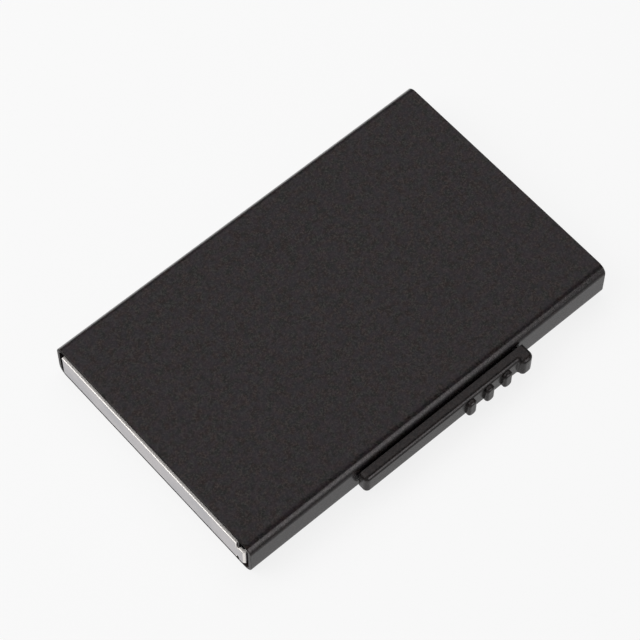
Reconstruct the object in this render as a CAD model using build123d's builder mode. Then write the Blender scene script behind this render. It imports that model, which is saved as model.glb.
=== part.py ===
from build123d import *
import os

# Pocket card holder: a flat tube of black anodised aluminium, open at both ends. A thumb slider
# on its -Y edge carries a bent sheet ejector, which closes the -X end and pushes the cards out
# of the +X mouth. X runs along the tube and Z is up. The origin is the middle of the underside.

# The tube, sawn from one extrusion
body_length = 96.0
body_width = 60.4
body_height = 10.2
wall = 0.8
edge_radius = 2.2
end_break = 0.1

# The ribs in the floor and the roof, which part the slider's channel from the card bay
channel_width = 2.65
rib_width = 0.4
floor_rib_height = 2.05
roof_rib_height = 2.8

# Clearances: a piece that slides, an edge that only has to pass, a screw in its hole
running_gap = 0.1
passing_gap = 0.4
screw_gap = 0.02

# The ejector, cut and bent from one sheet
sheet = 0.7
bend_radius = 0.1
sheet_round = 0.25
flange_proud = 0.4
flange_margin = 1.25
notch_gap = 0.15
rail_cover = 0.65
rail_tail = 3.0

# The glide strip on the rail's outer face
glide_thickness = 0.7
glide_edge = 0.3
glide_lap = 1.4

# The slider's travel, and the tongue that runs in the slot of the side wall
slide_travel = 21.0
slot_start = -18.6
tongue_length = 20.0
tongue_height = 2.4

# The slider's bar outside the wall, with its end block and its grip ribs
bar_start = -20.3
bar_length = 44.5
bar_height = 5.9
bar_depth = 2.3
bar_stand_off = 0.5
bar_round = 1.0
bar_corner = 1.05
land_inset = 0.7
land_margin = 0.6
block_length = 3.2
block_rise = 1.3
block_corner = 1.4
block_hollow = 0.4
grip_count = 3
grip_gap = 2.4
grip_pitch = 4.9
grip_width = 2.25
grip_height = 5.0
grip_drop = 0.4
grip_rise = 1.0
grip_corner = 1.0
grip_round = 0.6

# The two screws that hold the ejector's rail against the tongue
screw_radius = 0.7
screw_length = 3.6
screw_spacing = 12.0
head_radius = 1.3
head_height = 0.5
head_round = 0.2
recess_length = 1.4
recess_width = 0.35
recess_depth = 0.3

# The moulded stair behind the flange, which fans the cards out
step_count = 5
tread_depth = 1.6
stair_base = 0.9
stair_wall = 0.9
stair_web = 1.0
stair_nose = 0.25
pocket_count = 6

# The foam strips inside the mouth, which hold the cards by friction
strip_thickness = 0.8
strip_width = 9.0
strip_inset = 5.0
strip_margin = 4.6
strip_corner = 2.0
strip_bevel = 0.25

# How far a cutting shape runs past what it cuts, and how far a joined one reaches into its root
overrun = 2.0
root = 0.2

# Faces and lines that several pieces share
mouth_end = body_length / 2
back_end = -body_length / 2
outer_side = -body_width / 2
inner_side = outer_side + wall
far_side = body_width / 2 - wall
inner_floor = wall
inner_roof = body_height - wall
middle_height = body_height / 2
rib_line = inner_side + channel_width + rib_width / 2
bay_side = rib_line + rib_width / 2
rail_face = inner_side + running_gap + glide_thickness
rail_back = rail_face + sheet
flange_face = back_end - flange_proud
flange_back = flange_face + sheet
flange_low = inner_floor + flange_margin
flange_high = inner_roof - flange_margin
flange_end = far_side - flange_margin
slot_length = tongue_length + slide_travel + 2 * running_gap
slot_height = tongue_height + 2 * running_gap
rail_top = middle_height + slot_height / 2 + rail_cover
slot_middle = slot_start + slot_length / 2
tongue_middle = slot_start + running_gap + tongue_length / 2
rail_end = tongue_middle + tongue_length / 2 + rail_tail
bar_end = bar_start + bar_length
bar_back = outer_side - bar_stand_off
bar_front = bar_back - bar_depth
bar_low = middle_height - bar_height / 2
block_start = bar_end - block_length
grip_start = block_start - grip_gap - grip_width
stair_low = inner_floor + passing_gap
stair_high = inner_roof - passing_gap
screw_places = [(tongue_middle + side * screw_spacing / 2, middle_height) for side in (-1, 1)]


def side_plane(y):
    """The upright plane at this Y that faces the slider's side, with X and Z as its own axes."""
    return Plane.XZ.offset(-y)


def rib_profile(growth):
    """The round-tipped guide ribs of the floor and the roof, made larger all round by the growth."""
    width = rib_width + 2 * growth
    ribs = ((inner_floor, 1, floor_rib_height), (inner_roof, -1, roof_rib_height))
    for root_height, tip, height in ribs:
        straight = height + growth - width / 2
        with Locations((rib_line, root_height + tip * (straight - root) / 2)):
            Rectangle(width, straight + root)
        with Locations((rib_line, root_height + tip * straight)):
            Circle(width / 2)


# Tube: the hollow section with its two ribs, the slider's slot, and deburred edges
with BuildPart() as tube_body:
    with BuildSketch(Plane.YZ.offset(back_end)):
        with Locations((0, middle_height)):
            RectangleRounded(body_width, body_height, edge_radius)
            RectangleRounded(
                body_width - 2 * wall, body_height - 2 * wall, edge_radius - wall, mode=Mode.SUBTRACT
            )
        rib_profile(0)
    extrude(amount=body_length)
    with BuildSketch(side_plane(outer_side - overrun)):
        with Locations((slot_middle, middle_height)):
            SlotOverall(slot_length, slot_height)
    extrude(amount=-(overrun + wall + channel_width / 2), mode=Mode.SUBTRACT)
    ends = tube_body.faces().filter_by(Axis.X).sort_by(Axis.X)
    slider_side = tube_body.faces().filter_by(Axis.Y).sort_by(Axis.Y)[0]
    rims = [ends[0].outer_wire(), ends[-1].outer_wire(), slider_side.inner_wires()[0]]
    chamfer([edge for rim in rims for edge in rim.edges()], length=end_break)
tube_body.part.label = "tube_body"

# Ejector: an L of sheet, bent at the corner, notched over the ribs and lowered along the rail
with BuildPart() as ejector:
    with BuildSketch(Plane.XY.offset(flange_low)) as plan:
        with BuildLine():
            Polyline(
                (flange_face, flange_end),
                (flange_face, rail_face),
                (rail_end, rail_face),
                (rail_end, rail_back),
                (flange_back, rail_back),
                (flange_back, flange_end),
                close=True,
            )
        make_face()
        outer_corner = plan.vertices().sort_by_distance((flange_face, rail_face))[0]
        fillet(outer_corner, bend_radius + sheet)
        inner_corner = plan.vertices().sort_by_distance((flange_back, rail_back))[0]
        fillet(inner_corner, bend_radius)
    extrude(amount=flange_high - flange_low)
    with BuildSketch(Plane.YZ.offset(flange_face - overrun)):
        rib_profile(notch_gap)
    extrude(amount=sheet + 2 * overrun, mode=Mode.SUBTRACT)
    with BuildSketch(Plane.YZ.offset(flange_face - overrun)):
        with Locations((rib_line, rail_top)):
            Rectangle(
                rib_line - rail_face + overrun, body_height - rail_top, align=(Align.MAX, Align.MIN)
            )
    extrude(amount=rail_end - flange_face + 2 * overrun, mode=Mode.SUBTRACT)
    with BuildSketch(side_plane(rail_face - overrun)):
        with Locations(*screw_places):
            Circle(screw_radius + screw_gap)
    extrude(amount=-(sheet + 2 * overrun), mode=Mode.SUBTRACT)
    tail_edges = ejector.edges().filter_by(Axis.Y).group_by(Axis.X)[-1]
    fillet(tail_edges, bend_radius + sheet)
    front = ejector.faces().sort_by(Axis.X)[0]
    fillet(front.edges() - front.edges().filter_by(Axis.Z).sort_by(Axis.Y)[:1], sheet_round)
ejector.part.label = "ejector"

# Slider: the bar and its end block outside the wall, the grip ribs, the land that covers the
# slot, and the tongue that passes through the wall to the ejector's rail
with BuildPart() as slider_bar:
    with BuildSketch(Plane.XY.offset(bar_low)):
        with Locations((bar_start, bar_back)):
            Rectangle(bar_length, bar_depth, align=(Align.MIN, Align.MAX))
        with Locations((bar_end, bar_back)):
            Rectangle(block_length, bar_depth + block_rise, align=(Align.MAX, Align.MAX))
    extrude(amount=bar_height)
    tip_edges, block_edges, end_edges = slider_bar.edges().filter_by(Axis.Z).group_by(Axis.X)
    proud_edge, hollow_edge = block_edges.sort_by(Axis.Y)
    fillet([tip_edges.sort_by(Axis.Y)[0], proud_edge], bar_corner)
    fillet(hollow_edge, block_hollow)
    fillet(end_edges.sort_by(Axis.Y)[0], block_corner)
    rims = slider_bar.faces().filter_by(Axis.Z).edges()
    fillet(rims - rims.group_by(Axis.Y)[-1], bar_round)
    with BuildSketch(side_plane(bar_front + bar_round)):
        grip_middle = middle_height - grip_drop
        with Locations(*[(grip_start - grip_pitch * n, grip_middle) for n in range(grip_count)]):
            RectangleRounded(
                grip_width, grip_height, grip_corner, align=(Align.MIN, Align.CENTER)
            )
    extrude(amount=bar_round + grip_rise)
    grip_fronts = slider_bar.faces(Select.LAST).filter_by(Axis.Y).group_by(Axis.Y)[0]
    fillet(grip_fronts.edges(), grip_round)
    with BuildSketch(side_plane(outer_side - running_gap)):
        with Locations((bar_start + land_inset, middle_height)):
            RectangleRounded(
                bar_length - 2 * land_inset,
                slot_height + 2 * land_margin,
                bar_corner,
                align=(Align.MIN, Align.CENTER),
            )
    extrude(amount=bar_stand_off - running_gap + root)
    with BuildSketch(side_plane(rail_face)):
        with Locations((tongue_middle, middle_height)):
            SlotOverall(tongue_length, tongue_height)
    extrude(amount=rail_face - bar_back + root)
    with BuildSketch(side_plane(rail_face)):
        with Locations(*screw_places):
            Circle(screw_radius + screw_gap)
    extrude(amount=screw_length - sheet + screw_gap, mode=Mode.SUBTRACT)
slider_bar.part.label = "slider_bar"

# Glide strip: thin nylon on the rail's outer face, with a hole that the tongue passes through.
# It is long enough to shut the slot behind the slider when the cards are pushed out.
with BuildPart() as rail_glide:
    glide_start = slot_start - slide_travel - glide_lap
    glide_low = flange_low + glide_edge
    glide_high = rail_top - glide_edge
    with BuildSketch(side_plane(rail_face - glide_thickness)):
        with Locations(((glide_start + rail_end - glide_edge) / 2, (glide_low + glide_high) / 2)):
            RectangleRounded(
                rail_end - glide_edge - glide_start, glide_high - glide_low, bend_radius + glide_edge
            )
        with Locations((tongue_middle, middle_height)):
            SlotOverall(
                tongue_length + 2 * running_gap, tongue_height + 2 * running_gap, mode=Mode.SUBTRACT
            )
    extrude(amount=-glide_thickness)
rail_glide.part.label = "rail_glide"

# Screws: two alike, driven from the channel through the rail into the tongue
with BuildPart() as slider_screws:
    with BuildSketch(side_plane(rail_back)):
        with Locations(*screw_places):
            Circle(screw_radius)
    extrude(amount=screw_length)
    with BuildSketch(side_plane(rail_back)):
        with Locations(*screw_places):
            Circle(head_radius)
    extrude(amount=-head_height)
    head_rims = slider_screws.faces().filter_by(Axis.Y).group_by(Axis.Y)[-1].edges()
    fillet(head_rims, head_round)
    with BuildSketch(side_plane(rail_back + head_height)):
        with Locations(*screw_places):
            Rectangle(recess_length, recess_width)
            Rectangle(recess_width, recess_length)
    extrude(amount=recess_depth, mode=Mode.SUBTRACT)
slider_screws.part.label = "slider_screws"

# Card stair: a moulding bonded to the flange's inner face, cored from the back in pockets
with BuildPart() as card_steps:
    stair_length = flange_end - bay_side - passing_gap
    step_rise = (stair_high - stair_low) / step_count
    tread_ends = [flange_back + stair_base + tread_depth * n for n in reversed(range(step_count))]
    outline = [(flange_back, stair_low)]
    for level, tread_end in enumerate(tread_ends):
        outline += [(tread_end, stair_low + step_rise * (level + side)) for side in (0, 1)]
    outline.append((flange_back, stair_high))
    with BuildSketch(side_plane(flange_end)) as stair:
        with BuildLine():
            Polyline(*outline, close=True)
        make_face()
        noses = [group.sort_by(Axis.Y)[-1] for group in stair.vertices().group_by(Axis.X)[1:]]
        fillet(noses, stair_nose)
    extrude(amount=stair_length)
    pocket_width = (stair_length - stair_web * (pocket_count + 1)) / pocket_count
    pocket_pitch = pocket_width + stair_web
    core_reach = tread_ends[0] - stair_wall - flange_back - stair_wall * tread_depth / step_rise
    core_height = core_reach * step_rise / tread_depth
    starts = [side_plane(flange_end - stair_web - pocket_pitch * n) for n in range(pocket_count)]
    with BuildSketch(*starts):
        with BuildLine():
            Polyline(
                (flange_back, stair_low + stair_wall),
                (flange_back + core_reach, stair_low + stair_wall),
                (flange_back, stair_low + stair_wall + core_height),
                close=True,
            )
        make_face()
    extrude(amount=pocket_width, mode=Mode.SUBTRACT)
card_steps.part.label = "card_steps"


def grip_strip(face_height, growth):
    """One foam strip across the card bay, stuck to the floor or the roof just inside the mouth."""
    with BuildPart() as strip:
        with BuildSketch(Plane.XY.offset(face_height)):
            with Locations((mouth_end - strip_inset - strip_width / 2, (bay_side + far_side) / 2)):
                RectangleRounded(strip_width, far_side - bay_side - 2 * strip_margin, strip_corner)
        extrude(amount=growth * strip_thickness)
        open_face = strip.faces().sort_by(Axis.Z)[-1 if growth > 0 else 0]
        chamfer(open_face.edges(), length=strip_bevel)
    return strip.part


lower_grip_strip = grip_strip(inner_floor, 1)
lower_grip_strip.label = "lower_grip_strip"
upper_grip_strip = grip_strip(inner_roof, -1)
upper_grip_strip.label = "upper_grip_strip"

os.makedirs("parts", exist_ok=True)
export_step(tube_body.part, "parts/tube_body.step")
export_step(ejector.part, "parts/ejector.step")
export_step(slider_bar.part, "parts/slider_bar.step")
export_step(rail_glide.part, "parts/rail_glide.step")
export_step(slider_screws.part, "parts/slider_screws.step")
export_step(card_steps.part, "parts/card_steps.step")
export_step(lower_grip_strip, "parts/lower_grip_strip.step")
export_step(upper_grip_strip, "parts/upper_grip_strip.step")
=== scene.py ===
from math import cos, pi, radians, sin
import bmesh
import bpy
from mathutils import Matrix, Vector, noise


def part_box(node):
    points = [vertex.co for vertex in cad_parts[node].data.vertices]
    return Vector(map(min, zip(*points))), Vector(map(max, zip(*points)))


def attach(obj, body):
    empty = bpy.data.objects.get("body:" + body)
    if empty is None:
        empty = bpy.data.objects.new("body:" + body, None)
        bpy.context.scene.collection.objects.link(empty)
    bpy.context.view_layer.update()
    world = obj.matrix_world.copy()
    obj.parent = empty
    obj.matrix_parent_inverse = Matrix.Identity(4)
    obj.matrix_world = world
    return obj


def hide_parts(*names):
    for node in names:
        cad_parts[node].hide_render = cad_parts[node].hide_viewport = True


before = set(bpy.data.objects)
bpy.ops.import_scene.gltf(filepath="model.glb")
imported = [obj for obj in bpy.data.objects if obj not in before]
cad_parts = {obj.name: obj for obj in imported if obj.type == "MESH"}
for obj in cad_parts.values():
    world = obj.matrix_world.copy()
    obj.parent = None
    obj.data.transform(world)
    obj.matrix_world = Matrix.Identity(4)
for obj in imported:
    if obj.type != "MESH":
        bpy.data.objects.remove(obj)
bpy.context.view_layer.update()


# Tube body. One length of extruded aluminium, sawn off, deburred, fine-blasted and anodised
# black. The skin is matt close up with a soft sheen at a low angle. Use has burnished its long
# rounded edges. The rims of its ends are painted a lighter grey, partly wear and partly a painted
# highlight. The sawn faces are rougher, and those of its floor and roof are painted dull and near
# black as painted shade.
class Shade:
    """One output of a shader node. Arithmetic on it adds Math nodes to the same tree."""

    def __init__(self, tree, output):
        self.tree = tree
        self.output = output

    def node(self, kind, settings, sockets, output=0):
        """Adds any other node: its settings first, then the values or links of its sockets."""
        made = self.tree.nodes.new("ShaderNode" + kind)
        for name, value in settings.items():
            setattr(made, name, value)
        for name, value in sockets.items():
            if isinstance(value, Shade):
                self.tree.links.new(value.output, made.inputs[name])
            else:
                made.inputs[name].default_value = value
        return Shade(self.tree, made.outputs[output]) if made.outputs else None

    def math(self, operation, first, second=0.0):
        return self.node("Math", {"operation": operation}, {0: first, 1: second})

    def __add__(self, other):
        return self.math("ADD", self, other)

    def __sub__(self, other):
        return self.math("SUBTRACT", self, other)

    def __mul__(self, other):
        return self.math("MULTIPLY", self, other)

    def __rsub__(self, other):
        return self.math("SUBTRACT", other, self)

    __radd__ = __add__
    __rmul__ = __mul__

    def size(self):
        """This number without its sign."""
        return self.math("ABSOLUTE", self)

    def between(self, low, high):
        """0 at low and below, 1 at high and above, and smooth between them."""
        return self.node("MapRange", {"interpolation_type": "SMOOTHSTEP"},
                         {"Value": self, "From Min": low, "From Max": high})

    def mix(self, first, second):
        """The first colour where this is 0, the second where it is 1."""
        return self.node("Mix", {"data_type": "RGBA"}, {0: self, 6: first, 7: second}, 2)

    def part(self, axis):
        """One coordinate of a place or a direction: 0 for X, 1 for Y and 2 for Z."""
        return self.node("SeparateXYZ", {}, {"Vector": self}, axis)

    def stretched(self, x, y, z):
        """This place with each axis multiplied, so that a pattern on it runs into streaks."""
        return self.node("Mapping", {"vector_type": "POINT"}, {"Vector": self, "Scale": (x, y, z)})

    def facing(self):
        """The direction that the surface faces, in the object's own axes."""
        return self.node("TexCoord", {}, {}, "Normal")

    def grain(self, scale, detail=2.0, roughness=0.5):
        """Noise at this place, in grains per metre."""
        return self.node("TexNoise", {}, {"Vector": self, "Scale": scale, "Detail": detail,
                                          "Roughness": roughness})

    def bump(self, height, depth, under=None):
        """A normal from a height, where 1 stands this many metres proud."""
        sockets = {"Height": height, "Distance": depth}
        if under is not None:
            sockets["Normal"] = under
        return self.node("Bump", {}, sockets)


def start_material(name):
    """A new material and the place on the surface that its pattern starts from."""
    material = bpy.data.materials.new(name)
    material.use_nodes = True
    material.node_tree.nodes.clear()
    tree = material.node_tree
    return material, Shade(tree, tree.nodes.new("ShaderNodeTexCoord").outputs["Object"])


def surface(place, **sockets):
    """A principled shader with these sockets, named with underscores."""
    sockets = {name.replace("_", " "): value for name, value in sockets.items()}
    return place.node("BsdfPrincipled", {}, sockets)


def end_material(place, shader):
    """Shows this shader on the surface."""
    place.node("OutputMaterial", {}, {"Surface": shader})


def burnish(place, peaks):
    """The coat of an edge that handling has burnished: only along the long rounded edges, which
    face halfway between a side and the top or the floor, and most on the peaks of their skin."""
    facing = place.facing()
    edges = (facing.part(1) * facing.part(2)).size().between(0.41, 0.49)
    return edges * (0.72 + 0.5 * peaks)


def dress(node, material):
    """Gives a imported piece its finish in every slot."""
    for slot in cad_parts[node].material_slots:
        slot.material = material


mm = 0.001
wall = 0.8 * mm
tube_low, tube_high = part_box("tube_body")
middle_height = (tube_low.z + tube_high.z) / 2
inner_face = middle_height - wall
cut_blend = 0.3 * mm

pit_green, pit_red = (0.0058, 0.0076, 0.0066, 1), (0.0116, 0.0066, 0.0060, 1)
peak_grey, peak_warm = (0.0415, 0.0405, 0.0372, 1), (0.0495, 0.0380, 0.0355, 1)
violet_dye = (0.0248, 0.0200, 0.0275, 1)
# The lighter grey of the end rims is partly wear and partly a painted highlight on the edge breaks.
wear_and_highlight_grey = (0.060, 0.055, 0.053, 1)
# The sawn-end colours are near black: painted shade for the sawn ends of the floor and roof.
saw_shade_dark, saw_shade_light = (0.0030, 0.0027, 0.0027, 1), (0.0072, 0.0066, 0.0065, 1)

anodised, place = start_material("black_anodised")
blast = place.grain(2700, 3.0, 0.75).between(0.42, 0.66)
mottle = place.grain(900, 3.0, 0.6).between(0.36, 0.64)
tint = place.grain(600, 3.0).between(0.34, 0.66)
haze = place.grain(720, 3.0).between(0.34, 0.66)
cloud = place.grain(130, 3.0)
smudge = place.grain(45, 4.0, 0.55).between(0.50, 0.72)
pitted = (0.9 * blast + 0.1 * mottle).mix(tint.mix(pit_green, pit_red), tint.mix(peak_grey, peak_warm))
black = (0.5 * haze).mix(pitted, violet_dye)
endwise = place.facing().part(0).size()
sawn = endwise.between(0.85, 0.95)
# Lighter patches on the rims of the ends: partly wear, partly a painted highlight.
worn_and_highlight_rim = (endwise.between(0.2, 0.5) - sawn) * place.grain(160, 4.0).between(0.46, 0.62)
skin = surface(
    place,
    Base_Color=worn_and_highlight_rim.mix(black, wear_and_highlight_grey),
    Roughness=0.19 + 0.04 * blast + 0.05 * cloud + 0.03 * smudge + 0.15 * sawn + 0.2 * worn_and_highlight_rim,
    IOR=1.22,
    Specular_Tint=(1.0, 0.93, 0.94, 1),
    Coat_Weight=burnish(place, blast),
    Coat_Roughness=0.22,
    Coat_IOR=1.5,
    Normal=place.bump(mottle, 0.003 * mm, place.bump(blast, 0.004 * mm)),
)
strokes = place.stretched(1.0, 0.06, 1.0).grain(2600, 3.0, 0.6)
# A dull, near-black finish with saw strokes, used as painted shade on the sawn ends.
cut = surface(
    place,
    Base_Color=strokes.mix(saw_shade_dark, saw_shade_light),
    Roughness=0.62 + 0.16 * strokes,
    Specular_IOR_Level=0.02,
    Normal=place.bump(strokes, 0.006 * mm),
)
# Only the sawn ends of the floor and roof take the dull finish, as painted shade; the side walls' sawn
# ends keep the skin.
painted_shade_ends = (place.part(2) - middle_height).size().between(inner_face - cut_blend, inner_face)
end_material(place, place.node("MixShader", {}, {0: 0.9 * sawn * painted_shade_ends, 1: skin, 2: cut}))
dress("tube_body", anodised)


# Grip strips. Two strips of black closed-cell foam, die-cut and stuck to the tube's floor and
# roof just inside the mouth, where they hold the cards by friction.
strip_corner = 2.0 * mm
strip_roll = 0.35 * mm
roll_insets = [inset * mm for inset in (0.0, 0.04, 0.12, 0.22, 0.35, 0.6)]
face_insets = [(0.6 + 0.4 * n) * mm for n in range(1, 10)]
corner_parts, short_side_parts, long_side_parts = 8, 14, 90
dent_depth, dents_per_metre = 0.03 * mm, 1500


def strip_outline(half_x, half_y, radius):
    """One ring of a strip: a rounded rectangle whose straight sides are divided evenly."""
    arcs = []
    for turn, (side_x, side_y) in enumerate(((1, 1), (-1, 1), (-1, -1), (1, -1))):
        centre = Vector((side_x * (half_x - radius), side_y * (half_y - radius)))
        angles = [(turn + n / corner_parts) * pi / 2 for n in range(corner_parts + 1)]
        arcs.append([centre + radius * Vector((cos(angle), sin(angle))) for angle in angles])
    points = []
    for arc, following, parts in zip(arcs, arcs[1:] + arcs[:1], (short_side_parts, long_side_parts) * 2):
        points += arc[:-1] + [arc[-1].lerp(following[0], n / parts) for n in range(parts)]
    return points


def foam_strip(name, low, high, growth):
    """A soft slab with rolled edges and a slightly uneven face, built in rings from its rim."""
    middle, span = (low + high) / 2, high - low
    base = low.z if growth > 0 else high.z
    mesh = bmesh.new()
    rings = []
    for step, inset in enumerate(roll_insets[:1] + roll_insets + face_insets):
        half_x, half_y = span.x / 2 - inset, span.y / 2 - inset
        rise = 0.0 if step == 0 else span.z - 0.9 * strip_roll * (1 - min(inset / strip_roll, 1)) ** 2
        ring = []
        for x, y in strip_outline(half_x, half_y, max(strip_corner - inset, 0.3 * half_x)):
            dent = 0.0
            if inset >= strip_roll:
                dent = dent_depth * min(noise.noise(Vector((x, y, base)) * dents_per_metre) - 0.5, 0)
            ring.append(mesh.verts.new((middle.x + x, middle.y + y, base + growth * (rise + dent))))
        rings.append(ring)
    for outer, inner in zip(rings, rings[1:]):
        for n in range(len(outer)):
            mesh.faces.new((outer[n - 1], outer[n], inner[n], inner[n - 1]))
    mesh.faces.new(rings[0][::-1])
    mesh.faces.new(rings[-1])
    bmesh.ops.recalc_face_normals(mesh, faces=mesh.faces)
    data = bpy.data.meshes.new(name)
    mesh.to_mesh(data)
    mesh.free()
    data.shade_smooth()
    strip = bpy.data.objects.new(name, data)
    bpy.context.scene.collection.objects.link(strip)
    return strip


foam_dark, foam_light = (0.010, 0.010, 0.010, 1), (0.028, 0.027, 0.026, 1)
foam, place = start_material("black_foam")
cells = place.node("TexVoronoi", {}, {"Vector": place, "Scale": 2600.0})
end_material(place, surface(
    place,
    Base_Color=cells.between(0.1, 0.6).mix(foam_dark, foam_light),
    Roughness=0.92,
    Normal=place.bump(cells, 0.05 * mm),
))
for node, growth in (("lower_grip_strip", 1), ("upper_grip_strip", -1)):
    strip = foam_strip(node.replace("grip", "foam"), *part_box(node), growth)
    strip.data.materials.append(foam)
    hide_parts(node)
    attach(strip, "tube")


# Ejector. One strip of bare stainless sheet, laser cut, brushed and bent to an L: the end flange
# that shuts the tube, and the rail along its side wall that the slider holds. Its deburred edges
# and its bend are painted far lighter than its faces, partly for their real burnish and partly as
# a painted highlight.
sheet_cool, sheet_warm = (0.42, 0.41, 0.424, 1), (0.49, 0.469, 0.476, 1)
# The edge colour is far lighter than the sheet: partly burnish, partly a painted highlight.
edge_and_highlight_colour = (0.86, 0.83, 0.80, 1)
steel, place = start_material("brushed_steel")
brushing = place.stretched(1.0, 1.0, 22.0).grain(600, 3.0)
cloud = place.grain(150, 3.0)
facing = place.facing()
long_edge = facing.part(2).size().between(0.35, 0.75)
bend = (facing.part(0) * facing.part(1)).size().between(0.28, 0.45)
# The edges and the bend take the lighter colour: partly burnish, partly a painted highlight.
burnish_and_highlight = long_edge + bend
bare = cloud.between(0.35, 0.65).mix(sheet_cool, sheet_warm)
end_material(place, surface(
    place,
    Base_Color=burnish_and_highlight.mix(bare, edge_and_highlight_colour),
    Metallic=1.0,
    Roughness=0.30 + 0.12 * brushing + 0.15 * burnish_and_highlight,
    Normal=place.bump(brushing, 0.003 * mm),
))
dress("ejector", steel)


# Rail glide. A thin die-cut strip of black nylon, smooth and matt, stuck to the outer face of the
# ejector's rail, where it runs against the wall and shuts the slot behind the slider.
nylon_dark, nylon_light = (0.012, 0.012, 0.012, 1), (0.020, 0.020, 0.020, 1)
nylon, place = start_material("black_nylon")
film = place.grain(1800, 2.0)
end_material(place, surface(
    place,
    Base_Color=film.mix(nylon_dark, nylon_light),
    Roughness=0.50 + 0.15 * film,
    Normal=place.bump(film, 0.004 * mm),
))
dress("rail_glide", nylon)


# Thumb slider. Black plastic, moulded with its end block, its grip ribs and the tongue that
# runs in the slot, with the fine even skin that a spark-eroded mould leaves. The thumb has
# burnished the edges along its length.
plastic_black, plastic_brown = (0.0100, 0.0094, 0.0098, 1), (0.0190, 0.0142, 0.0135, 1)
plastic_grey = (0.0380, 0.0335, 0.0320, 1)
moulded, place = start_material("black_moulded")
spark = place.grain(2800, 2.0, 0.7).between(0.38, 0.66)
mottle = place.grain(1000, 3.0, 0.6).between(0.36, 0.64)
flow = place.grain(120, 2.0)
end_material(place, surface(
    place,
    Base_Color=(0.6 * spark).mix(mottle.mix(plastic_black, plastic_brown), plastic_grey),
    Roughness=0.21 + 0.05 * spark + 0.05 * flow,
    IOR=1.22,
    Specular_Tint=(1.0, 0.95, 0.97, 1),
    Coat_Weight=burnish(place, spark),
    Coat_Roughness=0.22,
    Coat_IOR=1.5,
    Normal=place.bump(mottle, 0.004 * mm, place.bump(spark, 0.003 * mm)),
))
dress("slider_bar", moulded)


# Slider screws. Two small machine screws with a cross recess, zinc plated to a soft grey shine,
# driven from inside through the rail into the slider's tongue.
zinc_dark, zinc_light = (0.48, 0.49, 0.50, 1), (0.60, 0.61, 0.62, 1)
zinc, place = start_material("zinc_plate")
bloom = place.grain(1500, 2.0)
end_material(place, surface(
    place,
    Base_Color=bloom.mix(zinc_dark, zinc_light),
    Metallic=1.0,
    Roughness=0.28 + 0.14 * bloom,
    Normal=place.bump(bloom, 0.003 * mm),
))
dress("slider_screws", zinc)


# Card steps. The stair that fans the cards out, moulded in the slider's black plastic and bonded
# to the inner face of the ejector's flange.
dress("card_steps", moulded)


# Stage. The holder lies on a wide light table of matt white acrylic, which shines through evenly
# and leaves next to no shadow.
table_half = 3.0
corners = [(-table_half, -table_half, 0), (table_half, -table_half, 0),
           (table_half, table_half, 0), (-table_half, table_half, 0)]
sheet = bpy.data.meshes.new("light_table")
sheet.from_pydata(corners, [], [(0, 1, 2, 3)])
table = bpy.data.objects.new("light_table", sheet)
bpy.context.scene.collection.objects.link(table)
acrylic, place = start_material("table_top")
end_material(place, surface(
    place,
    Base_Color=(0.12, 0.12, 0.12, 1),
    Roughness=0.9,
    Specular_IOR_Level=0.0,
    Emission_Color=(1.0, 1.0, 1.0, 1),
    Emission_Strength=0.848,
))
sheet.materials.append(acrylic)


# Studio light. Three large softboxes in a dim room. The back one gives the top face its even
# sheen, the front one draws the bright line along the rounded edges and is only mirrored, so
# that the table stays even, and the left one lights the edges of the bare sheet.
def outward(azimuth, elevation):
    """The direction from the holder, in degrees from -Y and from the table."""
    turn, lift = radians(azimuth), radians(elevation)
    return Vector((sin(turn) * cos(lift), -cos(turn) * cos(lift), sin(lift)))


def aim_back(thing, target, way, distance):
    """Places a light or a camera this far along the way from the target, looking back at it."""
    thing.location = target + way * distance
    thing.rotation_mode = "QUATERNION"
    thing.rotation_quaternion = way.to_track_quat("Z", "Y")
    bpy.context.scene.collection.objects.link(thing)


def softbox(name, azimuth, elevation, distance, width, height, radiance, colour=(1, 1, 1)):
    """An area light that faces the holder."""
    light = bpy.data.lights.new(name, "AREA")
    light.shape = "RECTANGLE"
    light.size, light.size_y = width, height
    light.energy = radiance * pi * width * height
    light.color = colour
    lamp = bpy.data.objects.new(name, light)
    aim_back(lamp, Vector((0, 0, 0)), outward(azimuth, elevation), distance)
    return lamp


softbox("back_softbox", azimuth=139, elevation=60, distance=1.2, width=1.4, height=1.0, radiance=1.5)
front = softbox("front_softbox", azimuth=-8, elevation=24.5, distance=1.0, width=1.2, height=0.72,
                radiance=1.7, colour=(1.0, 0.955, 0.97))
front.visible_diffuse = False
softbox("left_softbox", azimuth=-124, elevation=46, distance=1.2, width=1.0, height=1.1, radiance=2.6)

world = bpy.data.worlds.new("studio")
world.use_nodes = True
world.node_tree.nodes["Background"].inputs["Color"].default_value = (0.12, 0.12, 0.12, 1)
bpy.context.scene.world = world


# Camera. A long lens about half a metre away, looking down on the holder over its slider and its
# closed end, as in the photograph.
image_width, focal_pixels, sensor_width = 640, 2616.7, 36.0
aim = Vector((-1.583, 2.334, 3.464)) * mm
camera_way = outward(azimuth=-41.23, elevation=61.07)
camera_distance = 538.1 * mm
camera = bpy.data.cameras.new("camera")
camera.sensor_width = sensor_width
camera.lens = sensor_width * focal_pixels / image_width
view = bpy.data.objects.new("camera", camera)
aim_back(view, aim, camera_way, camera_distance)
bpy.context.scene.camera = view
bpy.context.scene.view_settings.view_transform = "Standard"
